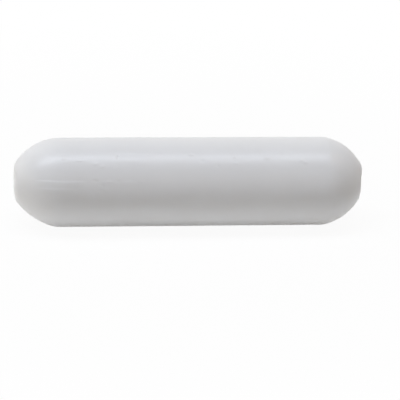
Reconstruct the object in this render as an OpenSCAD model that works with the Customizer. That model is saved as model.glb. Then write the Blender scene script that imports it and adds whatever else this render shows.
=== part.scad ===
// Magnetic stir bar: a plain cylindrical barrel with domed ends and no pivot ring.
// A ground rod magnet is sealed inside a jacket of white fluoropolymer that is
// moulded round it in one piece. The bar lies along X and rests on z = 0,
// with the origin on the vessel floor under the middle of the bar.

/* [Barrel] */
// Overall length, from the tip at -X to the tip at +X
bar_l = 38.1; // [37:0.1:60]
// Diameter of the straight barrel
bar_d = 9.7; // [9.2:0.1:10.4]

/* [Domed ends] */
// Radius of the long arc that closes the barrel towards -X
left_dome_r = 5.9; // [5.3:0.05:6.4]
// Radius of the long arc that closes the barrel towards +X
right_dome_r = 5.35; // [5.3:0.05:6.4]
// Radius of the short arc that rolls each dome into its flat land
land_edge_r = 1.5; // [1:0.1:2]
// Diameter of the flat land in the middle of each dome
land_d = 2.6; // [2:0.1:3]

/* [Moulding spot] */
// Height that the spot left by the mould stands out of the land at +X
spot_rise = 0.1; // [0.05:0.01:0.15]
// Diameter of the flat face of the spot
spot_face_d = 2.7; // [2.2:0.1:2.9]
// Radius that rolls the face of the spot down into the dome
spot_edge_r = 1.3; // [1.1:0.05:1.4]

/* [Magnet] */
// Diameter of the rod magnet
magnet_d = 6.35; // [4:0.05:6.6]
// Length of the rod magnet
magnet_l = 31.75; // [20:0.05:32]
// Chamfer ground round both ends of the magnet
magnet_chamfer = 0.4; // [0.1:0.05:0.8]

/* [Hidden] */
$fn = 96;

bar_r = bar_d / 2;
half_l = bar_l / 2;
land_r = land_d / 2;
spot_face_r = spot_face_d / 2;
magnet_r = magnet_d / 2;
half_magnet_l = magnet_l / 2;

// Turns a shape made round Z so that its top points along -X or +X, on the bar's axis
module on_axis(side) {
    translate([0, 0, bar_r])
        rotate([0, side * 90, 0])
            children();
}

// Half of the section of the bar, from its middle to the land at tip_l. The long arc is
// tangent to the barrel, and the short arc is tangent to the long one and to the land.
// The long arc's centre lies past the axis, because its radius is more than the barrel's.
module domed_section(tip_l, dome_r) {
    dome_centre_r = bar_r - dome_r;
    centres_apart = dome_r - land_edge_r;
    meet_angle = acos((land_r - dome_centre_r) / centres_apart);
    edge_centre_l = tip_l - land_edge_r;
    barrel_end_l = edge_centre_l - centres_apart * sin(meet_angle);
    arcs_meet_l = barrel_end_l + dome_r * sin(meet_angle);
    square([bar_r, barrel_end_l]);
    intersection() {
        translate([dome_centre_r, barrel_end_l])
            circle(r = dome_r);
        square([bar_r, arcs_meet_l]);
    }
    intersection() {
        translate([land_r, edge_centre_l])
            circle(r = land_edge_r);
        square([bar_r, tip_l]);
    }
    square([land_r, tip_l]);
}

// Half of the section of the moulding spot: a flat face with a rolled edge
module spot_section(tip_l) {
    edge_centre_l = tip_l - spot_edge_r;
    intersection() {
        translate([spot_face_r, edge_centre_l])
            circle(r = spot_edge_r);
        square([bar_r, tip_l]);
    }
    square([spot_face_r, tip_l]);
}

// Rod with both of its ends chamfered
module magnet_rod() {
    chamfered_r = magnet_r - magnet_chamfer;
    plain_l = half_magnet_l - magnet_chamfer;
    on_axis(1)
        rotate_extrude()
            polygon([
                [0, -half_magnet_l],
                [chamfered_r, -half_magnet_l],
                [magnet_r, -plain_l],
                [magnet_r, plain_l],
                [chamfered_r, half_magnet_l],
                [0, half_magnet_l]
            ]);
}

module jacket() {
    color("#e3e5e8")
        difference() {
            union() {
                on_axis(-1)
                    rotate_extrude()
                        domed_section(half_l, left_dome_r);
                on_axis(1)
                    rotate_extrude() {
                        domed_section(half_l - spot_rise, right_dome_r);
                        spot_section(half_l);
                    }
            }
            magnet_rod();
        }
}

module magnet_core() {
    color("#8f9296")
        magnet_rod();
}

jacket();
magnet_core();
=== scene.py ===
import math
import bpy
import numpy as np
from mathutils import Matrix, Vector


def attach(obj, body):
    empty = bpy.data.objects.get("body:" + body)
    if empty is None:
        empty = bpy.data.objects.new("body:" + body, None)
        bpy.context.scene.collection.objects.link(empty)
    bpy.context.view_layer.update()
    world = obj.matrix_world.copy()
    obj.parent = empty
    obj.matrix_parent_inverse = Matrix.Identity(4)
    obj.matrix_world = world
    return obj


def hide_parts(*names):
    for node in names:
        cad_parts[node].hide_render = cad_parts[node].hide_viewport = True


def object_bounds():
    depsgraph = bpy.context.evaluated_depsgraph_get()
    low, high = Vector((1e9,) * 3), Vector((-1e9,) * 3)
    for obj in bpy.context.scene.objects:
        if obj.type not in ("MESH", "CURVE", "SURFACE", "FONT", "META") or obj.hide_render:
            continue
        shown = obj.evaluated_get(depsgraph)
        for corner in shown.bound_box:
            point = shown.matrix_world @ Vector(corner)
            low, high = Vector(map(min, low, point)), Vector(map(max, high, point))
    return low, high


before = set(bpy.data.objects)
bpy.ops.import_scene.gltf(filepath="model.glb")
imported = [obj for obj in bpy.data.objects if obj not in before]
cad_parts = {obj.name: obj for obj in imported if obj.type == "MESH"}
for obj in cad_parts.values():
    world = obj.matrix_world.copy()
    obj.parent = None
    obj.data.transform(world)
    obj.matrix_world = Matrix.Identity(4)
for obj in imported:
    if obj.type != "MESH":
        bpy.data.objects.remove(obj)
cad_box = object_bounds()


# ---- Magnet core ------------------------------------------------------------------------------
# The drive magnet is a round rod of cast aluminium-nickel-cobalt alloy, ground to size between
# wheels and chamfered at both ends. The jacket is moulded over it, so it shows only on its own.

# One millimetre in metres
MM = 0.001
# The rings that the wheels leave: width along the rod, the distance over which one changes, and
# depth. The real ones are too fine to show, so they are drawn about ten times as wide.
GRINDING_LINE = 0.12 * MM
GRINDING_RUN = 20 * MM
GRINDING_DEPTH = 0.01 * MM
# Size of the patches of coarse crystals in the casting
CAST_GRAIN = 1.4 * MM


def srgb(hex_colour):
    """A hex colour as linear RGBA: each channel is undone from the sRGB curve."""
    channels = [int(hex_colour[i:i + 2], 16) / 255 for i in (1, 3, 5)]
    linear = [c / 12.92 if c <= 0.04045 else ((c + 0.055) / 1.055) ** 2.4 for c in channels]
    return (*linear, 1.0)


def add_node(material, kind, settings=(), values=(), links=()):
    """Adds a node to a material's or a world's tree. Settings are its properties, values its sockets'
    constants, and links join its sockets to (node, output) pairs."""
    node = material.node_tree.nodes.new(kind)
    for key, value in dict(settings).items():
        setattr(node, key, value)
    for key, value in dict(values).items():
        node.inputs[key].default_value = value
    for key, (source, output) in dict(links).items():
        material.node_tree.links.new(source.outputs[output], node.inputs[key])
    return node


def empty_material(name):
    """A new material whose node tree holds nothing yet."""
    material = bpy.data.materials.new(name)
    material.use_nodes = True
    material.node_tree.nodes.clear()
    return material


def ground_alnico():
    """Alnico, centreless ground: a mid grey metal with fine rings round the rod, and a coarse cast
    grain under them that darkens it in patches."""
    material = empty_material("ground_alnico")
    place = add_node(material, "ShaderNodeTexCoord")
    rings = add_node(
        material, "ShaderNodeMapping",
        values={"Scale": (1 / GRINDING_LINE, 1 / GRINDING_RUN, 1 / GRINDING_RUN)},
        links={"Vector": (place, "Object")})
    lines = add_node(
        material, "ShaderNodeTexNoise",
        values={"Scale": 1.0, "Detail": 3.0, "Roughness": 0.6},
        links={"Vector": (rings, "Vector")})
    grain = add_node(
        material, "ShaderNodeTexNoise",
        values={"Scale": 1 / CAST_GRAIN, "Detail": 4.0, "Roughness": 0.55},
        links={"Vector": (place, "Object")})
    colour = add_node(
        material, "ShaderNodeMix",
        settings={"data_type": "RGBA"},
        values={6: srgb("#7d7b77"), 7: srgb("#a19f9a")},
        links={0: (grain, "Fac")})
    gloss = add_node(
        material, "ShaderNodeMapRange",
        values={"To Min": 0.28, "To Max": 0.46},
        links={"Value": (lines, "Fac")})
    relief = add_node(
        material, "ShaderNodeBump",
        values={"Strength": 0.35, "Distance": GRINDING_DEPTH},
        links={"Height": (lines, "Fac")})
    metal = add_node(
        material, "ShaderNodeBsdfPrincipled",
        values={"Metallic": 1.0},
        links={"Base Color": (colour, 2), "Roughness": (gloss, 0), "Normal": (relief, "Normal")})
    add_node(material, "ShaderNodeOutputMaterial", links={"Surface": (metal, "BSDF")})
    return material


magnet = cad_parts["magnet_core"]
magnet.material_slots[0].material = ground_alnico()


# ---- Jacket -----------------------------------------------------------------------------------
# One seamless skin of white PTFE: powder pressed round the magnet in a mould and sintered, so it
# is waxy and faintly see-through. The mould leaves one dome longer than the other, a raised spot
# at +X and hair-fine lines along the bar, and handling leaves small nicks and burrs.

# The bar lies on the floor, so its radius is half of the solids' height
BAR_R = cad_box[1][2] / 2
HALF_L = cad_box[1][0]
# Radii of the flat land, the rolled edge and the long arc of each dome
LEFT_LAND_R, LEFT_EDGE_R, LEFT_DOME_R = 1.38 * MM, 1.57 * MM, 6.64 * MM
RIGHT_LAND_R, RIGHT_EDGE_R, RIGHT_DOME_R = 2.2 * MM, 0.15 * MM, 5.81 * MM
# Each dome's arc would top out this far outside the barrel, so the two meet in a faint, soft corner
DOME_OVERRUN = 0.08 * MM
# The moulding spot: its height over the land, the radii of its flat face and of its rolled rim, how
# far its middle sits above the bar's axis, and how much it leans back for each millimetre down
SPOT_RISE = 0.3 * MM
SPOT_FACE_R = 1.34 * MM
SPOT_EDGE_R = 0.745 * MM
SPOT_SHIFT = 0.335 * MM
SPOT_LEAN = 0.18
# The cavity has the magnet's size
CAVITY_R = 3.175 * MM
CAVITY_HALF_L = 15.875 * MM
CAVITY_CHAMFER = 0.4 * MM
# The tips sit a little above the barrel's axis: how far out that lift starts, and each tip's own
LIFT_START = 14.8 * MM
LEFT_TIP_LIFT = 0.168 * MM
RIGHT_TIP_LIFT = 0.098 * MM
# Rings along the bar, and points round it, which lie closer together over the band of elevations
# (degrees) that has the marks
LAND_RINGS = 20
EDGE_RINGS = 14
DOME_RINGS = 62
BARREL_RINGS = 330
MARKED_BAND = (-5, 70)
MARKED_STEPS = 100
PLAIN_STEPS = 80
BAND_START, BAND_END = (math.radians(angle) for angle in MARKED_BAND)
TURN = np.concatenate([
    np.linspace(BAND_START, BAND_END, MARKED_STEPS, endpoint=False),
    np.linspace(BAND_END, BAND_START + 2 * math.pi, PLAIN_STEPS, endpoint=False)])[None, :]


def dome_profile(tip, land_r, edge_r, dome_r):
    """Half of a domed end's section as (distance along the bar, radius), from the land's middle out
    to the barrel: the flat land, the short arc of its rolled edge, and the long arc of the dome. On
    an arc, place = centre + radius times (sine, cosine) of the normal's angle. The arcs meet where
    their normals agree. The long one tops out beyond the barrel, so the radius is the smooth minimum
    of the two: the lesser one, less a quarter of the overrun times nearness squared, where nearness
    is 1 where they cross and 0 where they are the overrun apart."""
    dome_centre_r = BAR_R + DOME_OVERRUN - dome_r
    centres_apart = dome_r - edge_r
    meet = math.acos((land_r - dome_centre_r) / centres_apart)
    dome_centre_x = tip - edge_r - centres_apart * math.sin(meet)
    flat_r = np.linspace(0, land_r, LAND_RINGS, endpoint=False)[1:]
    edge_angle = np.linspace(math.pi / 2, meet, EDGE_RINGS, endpoint=False)
    dome_angle = np.linspace(meet, 0, DOME_RINGS)
    along = np.concatenate([
        np.full_like(flat_r, tip),
        tip - edge_r + edge_r * np.sin(edge_angle),
        dome_centre_x + dome_r * np.sin(dome_angle)])
    radius = np.concatenate([
        flat_r,
        land_r + edge_r * np.cos(edge_angle),
        dome_centre_r + dome_r * np.cos(dome_angle)])
    nearness = np.clip(1 - np.abs(radius - BAR_R) / DOME_OVERRUN, 0, 1)
    return along, np.minimum(radius, BAR_R) - DOME_OVERRUN / 4 * nearness ** 2


def raised_spot(x, across, up):
    """Raises the +X end to the moulding spot: the surface is the greater of the dome and a flat disc
    whose rim falls away in a quarter circle, and which leans back from its top edge down."""
    reach = np.hypot(across, up - SPOT_SHIFT)
    past_face = np.clip(reach - SPOT_FACE_R, 0, SPOT_EDGE_R)
    rim_drop = SPOT_EDGE_R - np.sqrt(SPOT_EDGE_R ** 2 - past_face ** 2)
    lean_drop = SPOT_LEAN * (SPOT_FACE_R + SPOT_SHIFT - up).clip(0)
    disc = HALF_L - rim_drop - lean_drop
    return np.where((x > 0) & (reach < SPOT_FACE_R + SPOT_EDGE_R), np.maximum(x, disc), x)


# Marks on the skin: place along the bar (mm), the elevation that the skin faces there (degrees),
# half length along the bar, half width round it, and height, which is below 0 for a nick (mm)
MARKS = [
    (-14.0, 54.2, 0.22, 0.16, 0.026),
    (-12.3, 50.4, 0.42, 0.13, 0.024),
    (-11.9, 60.3, 0.22, 0.16, -0.026),
    (-10.6, 45.6, 0.26, 0.17, 0.034),
    (-9.85, 41.9, 0.24, 0.17, 0.034),
    (-8.2, 55.6, 0.17, 0.20, -0.060),
    (-8.2, 43.5, 0.18, 0.16, -0.018),
    (-3.7, 62.0, 0.30, 0.15, -0.022),
    (-0.25, 58.9, 0.34, 0.16, 0.075),
    (0.9, 49.4, 0.26, 0.22, -0.030),
    (2.6, 42.2, 0.16, 0.18, -0.020),
    (4.5, 54.4, 0.16, 0.16, 0.036),
    (4.6, 45.3, 0.22, 0.13, 0.020),
    (8.0, 52.8, 0.30, 0.16, 0.050),
    (9.5, 60.6, 0.26, 0.15, -0.024),
    (11.8, 49.2, 0.26, 0.15, 0.050),
    (12.2, 46.6, 0.24, 0.15, 0.050),
    (-10.7, 23.9, 0.34, 0.15, -0.030),
    (-9.95, 17.7, 0.22, 0.17, -0.026),
    (-9.7, 12.9, 0.34, 0.14, 0.018),
    (-9.1, 22.4, 0.26, 0.13, 0.022),
    (-8.25, 23.0, 0.24, 0.14, -0.016),
    (-5.7, 22.1, 0.30, 0.14, 0.010),
    (-10.35, 8.2, 0.26, 0.18, 0.018),
]
# Lines that the mould leaves along the bar, each in a plane parallel to its axis: start and end (mm),
# the elevation at which that plane meets the barrel (degrees), and height (mm). The planes all slope
# down from the near side by the same angle, because the bar has rolled since it left the mould.
MOULD_LINES = [
    (-17.2, -11.6, 22.2, 0.040),
    (-10.4, -8.1, 22.4, 0.026),
    (-8.0, -6.2, 22.1, 0.016),
    (-17.2, -12.6, 12.6, 0.018),
    (-7.9, -5.4, 59.4, -0.022),
]
LINE_TILT = math.radians(22.2)
# Reach of a line above its plane and below it, and the length over which its ends fade
LINE_RISE = 0.10 * MM
LINE_FALL = 0.45 * MM
LINE_FADE = 0.8 * MM


def skin_relief(x, radius, turn):
    """Height of the marks over the plain skin. Each mark is a bell curve along and round the bar. Each
    mould line is a ridge on the near side that fades at its ends: half a narrow bell curve above its
    plane, and half a wide one below it."""
    relief = np.zeros_like(x)
    for along, facing, half_l, half_w, height in MARKS:
        round_it = BAR_R * np.angle(np.exp(1j * (turn - math.radians(facing))))
        off_middle = ((x - along * MM) / (half_l * MM)) ** 2 + (round_it / (half_w * MM)) ** 2
        relief += height * MM * np.exp(-off_middle)
    for start, end, facing, height in MOULD_LINES:
        from_plane = math.radians(facing) - LINE_TILT
        level = BAR_R * math.sin(from_plane)
        above_it = (radius * np.sin(turn - LINE_TILT) - level) / math.cos(from_plane)
        fade = (np.clip((x - start * MM) / LINE_FADE, 0, 1)
                * np.clip((end * MM - x) / LINE_FADE, 0, 1))
        reach = np.where(above_it > 0, LINE_RISE, LINE_FALL)
        near_side = np.cos(turn - LINE_TILT) > 0
        relief += height * MM * fade * near_side * np.exp(-(above_it / reach) ** 2)
    return relief


def shell(rings, first_pole, last_pole, inward=False):
    """Closed shell from an array of rings of points: each step of a ring makes a quad with the next
    step and with the same two steps of the next ring, and a fan of triangles closes each pole. The
    faces point out of the shell, or into it."""
    ring_count, steps = rings.shape[:2]
    points = np.concatenate([rings.reshape(-1, 3), [first_pole, last_pole]])
    here = np.arange(steps)
    beside = np.roll(here, -1)
    base = (np.arange(ring_count - 1) * steps)[:, None]
    quads = np.stack([base + here, base + steps + here, base + steps + beside, base + beside], axis=-1)
    first = len(points) - 2
    last = len(points) - 1
    end = (ring_count - 1) * steps
    fans = np.concatenate([
        np.stack([np.full(steps, first), here, beside], axis=-1),
        np.stack([np.full(steps, last), end + beside, end + here], axis=-1)])
    quads = quads.reshape(-1, 4)
    if inward:
        quads = quads[:, ::-1]
        fans = fans[:, ::-1]
    return points, quads, fans


def jacket_skin():
    """The outer skin, ring by ring: x = along, y = minus radius times cosine of the turn, z = axis
    height plus radius times sine of the turn. The radius takes the marks, and the spot is raised.
    Each dome is lifted by t(2 - t) of its tip's lift, where t goes from 0 at its start to 1 at the
    tip."""
    left_along, left_radius = dome_profile(HALF_L, LEFT_LAND_R, LEFT_EDGE_R, LEFT_DOME_R)
    right_along, right_radius = dome_profile(
        HALF_L - SPOT_RISE, RIGHT_LAND_R, RIGHT_EDGE_R, RIGHT_DOME_R)
    barrel = np.linspace(-left_along[-1], right_along[-1], BARREL_RINGS)[1:-1]
    along = np.concatenate([-left_along, barrel, right_along[::-1]])
    radius = np.concatenate([left_radius, np.full_like(barrel, BAR_R), right_radius[::-1]])
    x = along[:, None] + np.zeros_like(TURN)
    skin_r = radius[:, None] + skin_relief(x, radius[:, None], TURN)
    across = -skin_r * np.cos(TURN)
    up = skin_r * np.sin(TURN)
    x = raised_spot(x, across, up)
    share = np.clip((np.abs(x) - LIFT_START) / (HALF_L - LIFT_START), 0, 1)
    lift = np.where(x < 0, LEFT_TIP_LIFT, RIGHT_TIP_LIFT) * share * (2 - share)
    rings = np.stack([x, across, BAR_R + up + lift], axis=-1)
    left_pole = (-HALF_L, 0, BAR_R + LEFT_TIP_LIFT)
    right_pole = (float(x[-1].mean()), 0, BAR_R + RIGHT_TIP_LIFT)
    return shell(rings, left_pole, right_pole)


def jacket_cavity():
    """The wall round the magnet, ring by ring as the skin is: a cylinder with both ends chamfered,
    whose faces point at the magnet."""
    along = np.array([-CAVITY_HALF_L, CAVITY_CHAMFER - CAVITY_HALF_L,
                      CAVITY_HALF_L - CAVITY_CHAMFER, CAVITY_HALF_L])
    radius = np.array([CAVITY_R - CAVITY_CHAMFER, CAVITY_R, CAVITY_R, CAVITY_R - CAVITY_CHAMFER])
    x = along[:, None] + np.zeros_like(TURN)
    across = -radius[:, None] * np.cos(TURN)
    rings = np.stack([x, across, BAR_R + radius[:, None] * np.sin(TURN)], axis=-1)
    return shell(rings, (-CAVITY_HALF_L, 0, BAR_R), (CAVITY_HALF_L, 0, BAR_R), inward=True)


def mesh_object(name, shells):
    """One object from several closed shells, smooth all over."""
    points, faces, start = [], [], 0
    for shell_points, quads, fans in shells:
        points.append(shell_points)
        faces += (quads + start).tolist() + (fans + start).tolist()
        start += len(shell_points)
    mesh = bpy.data.meshes.new(name)
    mesh.from_pydata(np.concatenate(points).tolist(), [], faces)
    mesh.validate()
    mesh.shade_smooth()
    piece = bpy.data.objects.new(name, mesh)
    bpy.context.scene.collection.objects.link(piece)
    return piece


# Clouds in the packing, and the grain of the pressed powder
CLOUD = 5 * MM
GRAIN = 0.35 * MM
GRAIN_DEPTH = 0.01 * MM
# Lines that the mould's polish leaves along the bar. The real ones are hair-fine, so they are drawn
# about ten times as wide.
POLISH_LINE_LENGTH = 9 * MM
POLISH_LINE_WIDTH = 0.5 * MM
POLISH_LINE_DEPTH = 0.02 * MM
# How far light spreads under the skin
LIGHT_SPREAD = 0.3 * MM


def moulded_ptfe():
    """Sintered PTFE off a polished mould: a waxy white that light enters a little way, with a soft
    sheen, faint clouds where the powder packed unevenly, and fine lines along the bar."""
    material = empty_material("moulded_ptfe")
    place = add_node(material, "ShaderNodeTexCoord")
    clouds = add_node(
        material, "ShaderNodeTexNoise",
        values={"Scale": 1 / CLOUD, "Detail": 3.0, "Roughness": 0.5},
        links={"Vector": (place, "Object")})
    grain = add_node(
        material, "ShaderNodeTexNoise",
        values={"Scale": 1 / GRAIN, "Detail": 2.0, "Roughness": 0.5},
        links={"Vector": (place, "Object")})
    stretched = add_node(
        material, "ShaderNodeMapping",
        values={"Scale": (1 / POLISH_LINE_LENGTH, 1 / POLISH_LINE_WIDTH, 1 / POLISH_LINE_WIDTH)},
        links={"Vector": (place, "Object")})
    polish_lines = add_node(
        material, "ShaderNodeTexNoise",
        values={"Scale": 1.0, "Detail": 3.0, "Roughness": 0.6},
        links={"Vector": (stretched, "Vector")})
    colour = add_node(
        material, "ShaderNodeMix",
        settings={"data_type": "RGBA"},
        values={6: srgb("#e6e6e6"), 7: srgb("#ececec")},
        links={0: (clouds, "Fac")})
    gloss = add_node(
        material, "ShaderNodeMapRange",
        values={"To Min": 0.26, "To Max": 0.36},
        links={"Value": (polish_lines, "Fac")})
    grain_relief = add_node(
        material, "ShaderNodeBump",
        values={"Strength": 0.10, "Distance": GRAIN_DEPTH},
        links={"Height": (grain, "Fac")})
    relief = add_node(
        material, "ShaderNodeBump",
        values={"Strength": 0.30, "Distance": POLISH_LINE_DEPTH},
        links={"Height": (polish_lines, "Fac"), "Normal": (grain_relief, "Normal")})
    plastic = add_node(
        material, "ShaderNodeBsdfPrincipled",
        values={"IOR": 1.38, "Subsurface Weight": 1.0, "Subsurface Radius": (1.0, 1.0, 1.0),
                "Subsurface Scale": LIGHT_SPREAD},
        links={"Base Color": (colour, 2), "Roughness": (gloss, 0), "Normal": (relief, "Normal")})
    add_node(material, "ShaderNodeOutputMaterial", links={"Surface": (plastic, "BSDF")})
    return material


jacket = mesh_object("jacket_skin", [jacket_skin(), jacket_cavity()])
jacket.data.materials.append(moulded_ptfe())
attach(jacket, "root")
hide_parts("jacket")


# ---- Floor ------------------------------------------------------------------------------------
# The bar lies on a wide sheet of matt white paper. It takes the bar's soft shadow close by, and
# turns into the plain white of the room further off.

FLOOR_HALF = 3.0
# The share of plain white mixed into the paper near the bar, how far from the bar's middle it
# reaches, and from how far on the paper is all plain white
SHADOW_WHITE = 0.94
SHADOW_REACH = 0.022
WHITE_FROM = 0.07


def is_seen(material):
    """1 where the eye sees a surface directly, in a mirror or through glass, and 0 for stray light."""
    path = add_node(material, "ShaderNodeLightPath")
    direct = add_node(
        material, "ShaderNodeMath", settings={"operation": "MAXIMUM"},
        links={0: (path, "Is Camera Ray"), 1: (path, "Is Glossy Ray")})
    return add_node(
        material, "ShaderNodeMath", settings={"operation": "MAXIMUM"},
        links={0: (direct, 0), 1: (path, "Is Transmission Ray")})


def matt_paper():
    """Uncoated white paper: fully matt, and bright enough where it is seen to read as white."""
    material = empty_material("matt_paper")
    place = add_node(material, "ShaderNodeTexCoord")
    from_middle = add_node(
        material, "ShaderNodeVectorMath", settings={"operation": "LENGTH"},
        links={0: (place, "Object")})
    whiteness = add_node(
        material, "ShaderNodeMapRange",
        values={"From Min": SHADOW_REACH, "From Max": WHITE_FROM, "To Min": SHADOW_WHITE, "To Max": 1.0},
        links={"Value": (from_middle, "Value")})
    seen = is_seen(material)
    share = add_node(
        material, "ShaderNodeMath", settings={"operation": "MULTIPLY"},
        links={0: (seen, 0), 1: (whiteness, 0)})
    sheet = add_node(material, "ShaderNodeBsdfDiffuse", values={"Color": srgb("#faf9f6")})
    white = add_node(material, "ShaderNodeEmission", values={"Color": srgb("#ffffff"), "Strength": 1.0})
    mixed = add_node(
        material, "ShaderNodeMixShader", links={0: (share, 0), 1: (sheet, "BSDF"), 2: (white, "Emission")})
    add_node(material, "ShaderNodeOutputMaterial", links={"Surface": (mixed, "Shader")})
    return material


floor_mesh = bpy.data.meshes.new("floor")
floor_mesh.from_pydata(
    [(-FLOOR_HALF, -FLOOR_HALF, 0), (FLOOR_HALF, -FLOOR_HALF, 0),
     (FLOOR_HALF, FLOOR_HALF, 0), (-FLOOR_HALF, FLOOR_HALF, 0)], [], [(0, 1, 2, 3)])
floor_mesh.materials.append(matt_paper())
floor = bpy.data.objects.new("floor", floor_mesh)
bpy.context.scene.collection.objects.link(floor)


# ---- Light ------------------------------------------------------------------------------------
# Soft studio light: one long softbox overhead, and weaker ones at the bar's two ends, behind it and
# in front of it. The pale room adds no light of its own.

BAR_MIDDLE = Vector((0, 0, BAR_R))


def softbox(name, place, along, width, depth, radiance, hex_colour):
    """A rectangular lamp turned to face the bar, with its width along the direction given. Its
    radiance is given against 1 for white paper, and it lights the bar without standing in any view."""
    lamp = bpy.data.lights.new(name, "AREA")
    lamp.shape = "RECTANGLE"
    lamp.size = width
    lamp.size_y = depth
    lamp.energy = radiance * math.pi * width * depth
    lamp.color = srgb(hex_colour)[:3]
    holder = bpy.data.objects.new(name, lamp)
    away = (Vector(place) - BAR_MIDDLE).normalized()
    wide = (Vector(along) - Vector(along).dot(away) * away).normalized()
    facing = Matrix((wide, away.cross(wide), away)).transposed().to_4x4()
    holder.matrix_world = Matrix.Translation(place) @ facing
    holder.visible_camera = False
    bpy.context.scene.collection.objects.link(holder)


ALONG_BAR = (1, 0, 0)
ACROSS_BAR = (0, 1, 0)
softbox("overhead_softbox", place=(-0.11, -0.04, 0.5), along=ALONG_BAR,
        width=0.58, depth=0.16, radiance=8.02, hex_colour="#ebf3ff")
softbox("left_softbox", place=(-0.48, 0.07, 0.125), along=ACROSS_BAR,
        width=0.84, depth=0.25, radiance=1.11, hex_colour="#fff0d9")
softbox("right_softbox", place=(0.287, 0, 0.41), along=ACROSS_BAR,
        width=0.27, depth=0.21, radiance=2.25, hex_colour="#ffe9ce")
softbox("back_softbox", place=(0, 0.41, 0.29), along=ALONG_BAR,
        width=0.84, depth=0.4, radiance=0.25, hex_colour="#fff1cb")
softbox("front_softbox", place=(0, -0.45, 0.22), along=ALONG_BAR,
        width=0.4, depth=0.16, radiance=0.41, hex_colour="#ffd5ab")

world = bpy.data.worlds.new("pale_room")
world.use_nodes = True
world.node_tree.nodes.clear()
seen = is_seen(world)
room = add_node(world, "ShaderNodeBackground", values={"Color": srgb("#ffffff"), "Strength": 0.0})
white_room = add_node(world, "ShaderNodeBackground", values={"Color": srgb("#ffffff"), "Strength": 1.0})
mixed_room = add_node(
    world, "ShaderNodeMixShader",
    links={0: (seen, 0), 1: (room, "Background"), 2: (white_room, "Background")})
add_node(world, "ShaderNodeOutputWorld", links={"Surface": (mixed_room, "Shader")})
bpy.context.scene.world = world
bpy.context.scene.view_settings.view_transform = "Standard"


# ---- Camera -----------------------------------------------------------------------------------
# A long lens a hand's breadth above the bench, a little to the -X side of square on.

CAMERA_DISTANCE = 0.25
CAMERA_YAW = math.radians(8)
CAMERA_HEIGHT = math.radians(22)
CAMERA_ROLL = math.radians(2.8)
LENS = 205.7
# The camera aims this far to the right of the bar's middle and above it, as it sees them
AIM_RIGHT = 1.324 * MM
AIM_UP = -1.960 * MM

back = Vector((-math.sin(CAMERA_YAW) * math.cos(CAMERA_HEIGHT),
               -math.cos(CAMERA_YAW) * math.cos(CAMERA_HEIGHT), math.sin(CAMERA_HEIGHT)))
eye = BAR_MIDDLE + CAMERA_DISTANCE * back
level_right = Vector((math.cos(CAMERA_YAW), -math.sin(CAMERA_YAW), 0))
level_up = back.cross(level_right)
aim = BAR_MIDDLE + AIM_RIGHT * level_right + AIM_UP * level_up
backward = (eye - aim).normalized()
right = Vector((0, 0, 1)).cross(backward).normalized()
turned = Matrix((right, backward.cross(right), backward)).transposed()

camera = bpy.data.cameras.new("camera")
camera.lens = LENS
camera.clip_start = 0.01
viewer = bpy.data.objects.new("camera", camera)
viewer.matrix_world = (Matrix.Translation(eye) @ turned.to_4x4()
                       @ Matrix.Rotation(CAMERA_ROLL, 4, "Z"))
bpy.context.scene.collection.objects.link(viewer)
bpy.context.scene.camera = viewer
